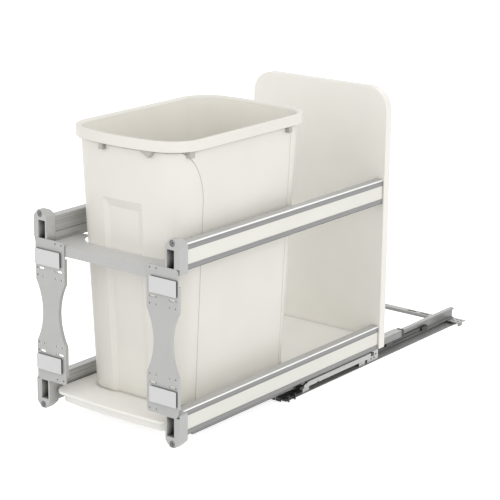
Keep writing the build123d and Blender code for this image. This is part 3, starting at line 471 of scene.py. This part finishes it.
# where the bin's mesh has its columns and rings
FRONT_XS = [0, 5, 10, 15, 20, 25, 28.5, *np.arange(29.0, 40.1, 0.5), 41, 43, 45]
WALL_ZS = [53, 75, 100, 130, 160, 190, 220, 250, 280, 305, 325, 340, 350, 355,
           *np.arange(358.5, 375.1, 0.5), *np.arange(377.0, 454.0, 4.0), 456.2, 457.9]
PANELS_END_Z = 458.3
INNER_ZS = [z for z in reversed(WALL_ZS) if z > BIN_FLOOR + BIN_BASE + FLOOR_ROUND_R + 1]
CORNER_STEPS, SIDE_STEPS, BACK_STEPS, FLOOR_ROUND_STEPS = 26, 48, 40, 5
RIM_EDGE_STEPS, MOUTH_STEPS = 7, 10
NORMAL_REACH = 0.2        # how far to both sides of a point the wall's direction is taken

# half an outline is the front's arc, its corner, the rear corner and the back's arc
ARC_POINTS = 60
CORNER_POINTS = ARC_POINTS - 1
FRONT_PART = slice(0, ARC_POINTS + CORNER_POINTS)
SIDE_PART = slice(ARC_POINTS, ARC_POINTS + 2 * CORNER_POINTS)


def half_outline(plan):
    """Points of the bowed plan's right half, from the front's middle to the back's middle."""
    half, front, back, radius, front_bow, back_bow = plan
    pieces = []
    for edge, bow, sign in ((front, front_bow, 1), (back, back_bow, -1)):
        big = (half * half + bow * bow) / (2 * bow)
        corner_y = edge + sign * (big - math.sqrt((big - radius) ** 2 - (half - radius) ** 2))
        tilt = math.asin((half - radius) / (big - radius))
        swing = np.linspace(0, tilt, ARC_POINTS)
        arc = np.column_stack((big * np.sin(swing), edge + sign * big * (1 - np.cos(swing))))
        turn_to = np.linspace(tilt, math.pi / 2, ARC_POINTS)[1:]
        round_off = np.column_stack((half - radius + radius * np.sin(turn_to),
                                     corner_y - sign * radius * np.cos(turn_to)))
        pieces.append(np.vstack((arc, round_off)))
    return np.vstack((pieces[0], pieces[1][::-1]))


def wall_plan(z, outward=0.0):
    """The wall's plan at a height, moved outwards by a distance."""
    share = (z - BIN_FLOOR) / (BIN_TOP - BIN_FLOOR)
    return PLAN_LOW + share * (PLAN_HIGH - PLAN_LOW) + outward * PLAN_OUTWARD


def side_border(z):
    """Where the side panel's front edge lies at a height: upright, then sweeping forwards."""
    rise = min(max(z - SIDE_BEND, 0.0), SKIRT_LOW - SIDE_BEND)
    return SIDE_FRONT - SIDE_R + math.sqrt(SIDE_R ** 2 - rise ** 2)


def arch_press(x, z, grow):
    """Depth of the pressed front panel at a point: a small step, a sloping border, a flat middle."""
    across, up = ARCH_HALF + grow - abs(x), ARCH_HIGH + grow - z
    corner = ARCH_R + grow
    if across < corner and up < corner and math.hypot(corner - across, corner - up) > corner:
        return 0.0
    if min(across, up) <= 0:
        return 0.0
    share = min(across / ARCH_SIDE_SLOPE, up / ARCH_TOP_SLOPE, 1.0)
    return ARCH_STEP + (ARCH_DEPTH - ARCH_STEP) * share


def along_path(stations, run, path):
    """Points of a path at distances along it."""
    return np.column_stack([np.interp(stations, run, path[:, i]) for i in (0, 1)])


def bin_ring(plan, z, arch_grow=None, side_panel=False):
    """One level ring of the bin, its columns on the panels' borders, pressed in where they lie.

    arch_grow is how far the pressed front panel reaches past its border. None leaves it out.
    """
    path = half_outline(plan)
    run = np.concatenate(([0], np.cumsum(np.hypot(*np.diff(path, axis=0).T))))
    front_run = np.interp(FRONT_XS, path[FRONT_PART, 0], run[FRONT_PART])
    border = np.interp(side_border(z), path[SIDE_PART, 1], run[SIDE_PART])
    end = np.interp(SIDE_BACK, path[SIDE_PART, 1], run[SIDE_PART])
    panel_run = np.linspace(border + SIDE_STEP, end - SIDE_STEP, SIDE_STEPS)
    panel_run[1] = border + CREASE_WIDTH
    stations = np.concatenate((front_run, np.linspace(front_run[-1], border, CORNER_STEPS)[1:],
                               panel_run, np.linspace(end, run[-1], BACK_STEPS)))
    points = along_path(stations, run, path)
    along = (along_path(stations + NORMAL_REACH, run, path)
             - along_path(stations - NORMAL_REACH, run, path))
    outward = np.column_stack((along[:, 1], -along[:, 0])) / np.hypot(*along.T)[:, None]
    depth = np.zeros(len(stations))
    if arch_grow is not None:
        for k in range(len(FRONT_XS)):
            depth[k] = arch_press(points[k, 0], z, arch_grow)
    if side_panel:
        first = len(FRONT_XS) + CORNER_STEPS - 1
        depth[first:first + SIDE_STEPS] = SIDE_DEPTH
    points = points - outward * depth[:, None]
    points[0, 0] = points[-1, 0] = 0.0
    right = [(x * MM, (y - DOOR_Y) * MM, z * MM) for x, y in points]
    return right + [(-x, y, zz) for x, y, zz in reversed(right[1:-1])]


def rim_section():
    """The rim's section, from under its skirt over its top into the mouth: (outwards, height)."""
    skirt_in, under = RIM_OUT - RIM_SKIRT, BIN_TOP - RIM_TOP
    section = [(skirt_in, under), (skirt_in, SKIRT_LOW + SKIRT_BREAK),
               (skirt_in + SKIRT_BREAK, SKIRT_LOW), (RIM_OUT - SKIRT_BREAK, SKIRT_LOW),
               (RIM_OUT, SKIRT_LOW + SKIRT_BREAK)]
    for angle in np.linspace(0, math.pi / 2, RIM_EDGE_STEPS):
        section.append((RIM_OUT - RIM_EDGE_R + RIM_EDGE_R * math.cos(angle),
                        BIN_TOP - RIM_EDGE_R + RIM_EDGE_R * math.sin(angle)))
    for angle in np.linspace(math.pi / 2, math.pi, MOUTH_STEPS):
        section.append((MOUTH_R - BIN_WALL + MOUTH_R * math.cos(angle),
                        BIN_TOP - MOUTH_R + MOUTH_R * math.sin(angle)))
    return section


def bin_profile():
    """Rings from under the base, up the wall, over the rim and down the inside to the floor."""
    rings = [bin_ring(wall_plan(BIN_FLOOR, -BASE_INSET), BIN_FLOOR),
             bin_ring(wall_plan(BASE_EDGE_Z, -BASE_EDGE_INSET), BASE_EDGE_Z, 0.0)]
    rings += [bin_ring(wall_plan(z), z, 0.0, True) for z in WALL_ZS]
    rings += [bin_ring(wall_plan(z), z) for z in (PANELS_END_Z, SKIRT_LOW, BIN_TOP - RIM_TOP)]
    rings += [bin_ring(PLAN_HIGH + out * PLAN_OUTWARD, z) for out, z in rim_section()]
    rings += [bin_ring(wall_plan(z, -BIN_WALL), z, ARCH_INSIDE_GROW) for z in INNER_ZS]
    for angle in np.linspace(0, math.pi / 2, FLOOR_ROUND_STEPS):
        z = BIN_FLOOR + BIN_BASE + FLOOR_ROUND_R - FLOOR_ROUND_R * math.sin(angle)
        inset = -BIN_WALL - FLOOR_ROUND_R + FLOOR_ROUND_R * math.cos(angle)
        rings.append(bin_ring(wall_plan(z, inset), z, ARCH_INSIDE_GROW))
    return rings


def wall_y(x, z, outward=0.0):
    """Where the front wall lies at an x and a height."""
    path = half_outline(wall_plan(z, outward))[FRONT_PART]
    return float(np.interp(abs(x), path[:, 0], path[:, 1]))


def wall_x(y, z, outward=0.0):
    """Where the side wall lies at a y and a height."""
    path = half_outline(wall_plan(z, outward))[SIDE_PART]
    return float(np.interp(y, path[:, 1], path[:, 0]))


RIB_HALF, RIB_DROP, RIB_TOP, RIB_X, RIB_YS = 4.0, 10.0, 471.7, -31.0, (71.0, 311.0)
RIB_REACH, RIB_SINK = RIM_OUT - RIM_SKIRT / 2, 1.0
GRIP = ((44.0, RIB_TOP), (44.0, SKIRT_LOW), (60.5, SKIRT_LOW - 11.0), (67.0, SKIRT_LOW),
        (67.0, RIB_TOP))


def rib_outline(middle):
    """A straight rib's four corners, as the distance along the wall and the height."""
    near, far, low = middle - RIB_HALF, middle + RIB_HALF, SKIRT_LOW - RIB_DROP
    return (near, RIB_TOP), (near, low), (far, low), (far, RIB_TOP)


def prism(bm, near_face, far_face):
    """Closed prism between two matching outlines, in millimetres of the CAD source."""
    skin(bm, [[(x * MM, (y - DOOR_Y) * MM, z * MM) for x, y, z in face]
              for face in (near_face, far_face)])


def bin_ribs(bm):
    """Ribs under the rim, and the pointed grip web at the front right."""
    for outline in (rib_outline(RIB_X), GRIP):
        prism(bm, [(x, wall_y(x, BIN_TOP, RIB_REACH), z) for x, z in outline],
              [(x, wall_y(x, z) + RIB_SINK, z) for x, z in outline])
    for y in RIB_YS:
        outline = rib_outline(y)
        for side in (1, -1):
            prism(bm, [(side * wall_x(v, BIN_TOP, RIB_REACH), v, z) for v, z in outline],
                  [(side * (wall_x(v, z) - RIB_SINK), v, z) for v, z in outline])


FACE_CREASE_SHADE, FACE_RIB_AND_SKIRT_SHADOW, FACE_INSIDE = 1, 2, 3        # places in the bin's list of materials
FIRST_WALL_ROW = 2                                # the two rows of faces below are the base's


def bin_body():
    """The bin's shell and ribs, with faces marked for the painted crease shade, the darker ribs, the
    painted shadow under the skirt and the inside's painted light.
    """
    bm = bmesh.new()
    skin(bm, bin_profile())
    bm.faces.ensure_lookup_table()
    columns = len(FRONT_XS) + CORNER_STEPS - 1 + SIDE_STEPS + BACK_STEPS
    row_faces = 2 * columns - 2
    crease = len(FRONT_XS) + CORNER_STEPS - 2
    mirrored = row_faces - 1 - crease
    row_under_rim = len(WALL_ZS)
    # painted shade on the side panel's crease
    for row in range(FIRST_WALL_ROW, row_under_rim + 1):
        for column in (crease, crease + 1, mirrored, mirrored - 1):
            bm.faces[row * row_faces + column].material_index = FACE_CREASE_SHADE
    # the row of wall faces just under the skirt: painted shadow of the skirt
    for column in range(row_faces):
        bm.faces[row_under_rim * row_faces + column].material_index = FACE_RIB_AND_SKIRT_SHADOW
    shell_faces = len(bm.faces)
    inside_rows = len(INNER_ZS) + FLOOR_ROUND_STEPS
    # inside faces: painted light
    for face in bm.faces[shell_faces - 2 - row_faces * inside_rows:shell_faces]:
        face.material_index = FACE_INSIDE
    bin_ribs(bm)
    bm.faces.ensure_lookup_table()
    # ribs drawn darker
    for face in bm.faces[shell_faces:]:
        face.material_index = FACE_RIB_AND_SKIRT_SHADOW
    return bm


make_piece("bin_shell", bin_body(), ["waste_bin"], "bin_plastic", (BIN_CREASE_SHADE, BIN_RIB_AND_SKIRT_SHADOW, BIN_INSIDE_PAINTED_LIGHT))

# foam pads: flat where they lie on the bracket and under the liner, sides crowned and drawn in
PAD_CROWN, PAD_DRAW, PAD_CLEAR, PAD_ROUND = 0.00045, 0.0003, 0.00003, 0.0016
PAD_RINGS, PAD_DRAW_POWER = 9, 5
PAD_CORNERS = ((1, 1, 0), (-1, 1, 90), (-1, -1, 180), (1, -1, 270))    # side, level, first angle
PAD_CORNER_POINTS, PAD_CORNER_TURN = 7, 15
PAD_LEVEL_SHARES = (0.75, 0.5, 0.25, 0, -0.25, -0.5, -0.75)
PAD_UPRIGHT_SHARES = (0.6, 0.2, -0.2, -0.6)


def pad_outline(low, high, inset):
    """Rounded rectangle in X and Z whose sides pull in between the corners."""
    middle = (low + high) / 2
    reach_x, reach_z = (high.x - low.x) / 2 - inset, (high.z - low.z) / 2 - inset
    straight_x, straight_z = reach_x - PAD_ROUND, reach_z - PAD_ROUND
    points = []
    for cx, cz, start in PAD_CORNERS:
        for step in range(PAD_CORNER_POINTS):
            a = math.radians(start + PAD_CORNER_TURN * step)
            points.append((cx * straight_x + PAD_ROUND * math.cos(a),
                           cz * straight_z + PAD_ROUND * math.sin(a)))
        if cx * cz > 0:
            points += [(cx * s * straight_x, cz * reach_z) for s in PAD_LEVEL_SHARES]
        else:
            points += [(cx * reach_x, cz * s * straight_z) for s in PAD_UPRIGHT_SHARES]
    drawn = []
    for x, z in points:
        u, w = x / reach_x, z / reach_z
        pull_x, pull_z = PAD_DRAW * max(0.0, 1 - w * w), PAD_DRAW * max(0.0, 1 - u * u)
        drawn.append((x - pull_x * u ** PAD_DRAW_POWER + middle.x,
                      z - pull_z * w ** PAD_DRAW_POWER + middle.z))
    return drawn


def pad_body(low, high):
    """A pad that fills a box: its outline is smallest where the pad lies against its neighbours."""
    rings = []
    for k in range(PAD_RINGS):
        share = k / (PAD_RINGS - 1)
        inset = PAD_CROWN * (2 * share - 1) ** 2
        y = low.y + PAD_CLEAR + share * (high.y - low.y - 2 * PAD_CLEAR)
        rings.append([(x, y, z) for x, z in pad_outline(low, high, inset)])
    bm = bmesh.new()
    skin(bm, rings)
    return bm


for level in ("upper", "lower"):
    for hand in ("right", "left"):
        pad_mesh = pad_body(*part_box(f"{level}_pad_{hand}"))
        pad = make_piece(f"foam_pad_{level}_{hand}", pad_mesh, [f"{level}_pad_{hand}"], "pad_foam")


# ---------------------------------------------------------------- studio
WHITE = (1, 1, 1, 1)
FLOOR_SIZE, FLOOR_DROP, FLOOR_GLOW = 30.0, 0.0004, 0.75
WORLD_LIGHT = 0.86
LAMPS = {
    "right_key": dict(energy=18.0, size=1.6, place=(2.4, -1.1, 1.3)),
    "left_front": dict(energy=8.0, size=1.5, place=(-0.8, -2.4, 1.0)),
    "back_top": dict(energy=5.0, size=0.8, place=(0.0, 1.75, 1.8)),
}
TARGET = (0.0, -0.15, 0.2)


def floor_material():
    """Pale floor that is white to the camera where lit, and keeps the unit's shadow."""
    g = Graph("studio_floor")
    tint = g.noise(3.0, detail=2.0)
    g.put("Base Color", g.mix(g.remap(tint, 0.0, 1.0), (0.80, 0.80, 0.80), (0.82, 0.82, 0.82)))
    g.put("Roughness", 0.9)
    g.put("Specular IOR Level", 0.2)
    glow = g.nodes.new("ShaderNodeEmission")
    glow.inputs["Color"].default_value = WHITE
    g.link(g.math("MULTIPLY", seen_directly(g.tree), FLOOR_GLOW), glow.inputs["Strength"])
    both = g.nodes.new("ShaderNodeAddShader")
    g.link(g.bsdf.outputs[0], both.inputs[0])
    g.link(glow.outputs[0], both.inputs[1])
    g.link(both.outputs[0], g.out.inputs["Surface"])
    return g.mat


floor_mesh = bpy.data.meshes.new("studio_floor")
half = FLOOR_SIZE / 2
floor_mesh.from_pydata([(-half, -half, 0), (half, -half, 0), (half, half, 0), (-half, half, 0)], [],
                       [(0, 1, 2, 3)])
floor_object = bpy.data.objects.new("studio_floor", floor_mesh)
SCENE.collection.objects.link(floor_object)
floor_object.location = (0, 0, -FLOOR_DROP)
floor_mesh.materials.append(floor_material())

# the world lights the unit at WORLD_LIGHT and is full white where it is seen directly
world = bpy.data.worlds.new("studio_world")
SCENE.world = world
world.use_nodes = True
sky = world.node_tree
sky.nodes["Background"].inputs["Color"].default_value = WHITE
lift = math_node(sky, "MULTIPLY", seen_directly(sky), 1.0 - WORLD_LIGHT)
sky.links.new(math_node(sky, "ADD", lift, WORLD_LIGHT), sky.nodes["Background"].inputs["Strength"])

for lamp_name, lamp in LAMPS.items():
    data = bpy.data.lights.new(lamp_name, "AREA")
    data.energy, data.size = lamp["energy"], lamp["size"]
    light = bpy.data.objects.new(lamp_name, data)
    SCENE.collection.objects.link(light)
    light.location = lamp["place"]
    light.rotation_mode = "QUATERNION"
    light.rotation_quaternion = (Vector(TARGET) - Vector(lamp["place"])).to_track_quat("-Z", "Y")


# ---------------------------------------------------------------- camera, fitted to the photograph
CAM_AZIMUTH, CAM_ELEVATION, CAM_ROLL = (math.radians(a) for a in (37.52, 15.86, 0.66))
CAM_PLACE = (1.75813, -2.51943, 1.04524)
CAM_SENSOR, CAM_LENS = 36.0, 129.37
CAM_NEAR, CAM_FAR = 0.05, 60.0

axis_back = Vector((math.sin(CAM_AZIMUTH) * math.cos(CAM_ELEVATION),
                    -math.cos(CAM_AZIMUTH) * math.cos(CAM_ELEVATION), math.sin(CAM_ELEVATION)))
level_right = Vector((math.cos(CAM_AZIMUTH), math.sin(CAM_AZIMUTH), 0))
upright = axis_back.cross(level_right)
axis_x = level_right * math.cos(CAM_ROLL) + upright * math.sin(CAM_ROLL)
axis_y = upright * math.cos(CAM_ROLL) - level_right * math.sin(CAM_ROLL)
camera_data = bpy.data.cameras.new("camera")
camera_data.sensor_fit = "HORIZONTAL"
camera_data.sensor_width = CAM_SENSOR
camera_data.lens = CAM_LENS
camera_data.clip_start, camera_data.clip_end = CAM_NEAR, CAM_FAR
camera = bpy.data.objects.new("camera", camera_data)
SCENE.collection.objects.link(camera)
turn = Matrix((axis_x, axis_y, axis_back)).transposed().to_4x4()
camera.matrix_world = Matrix.Translation(CAM_PLACE) @ turn
SCENE.camera = camera

SCENE.view_settings.view_transform = "Standard"
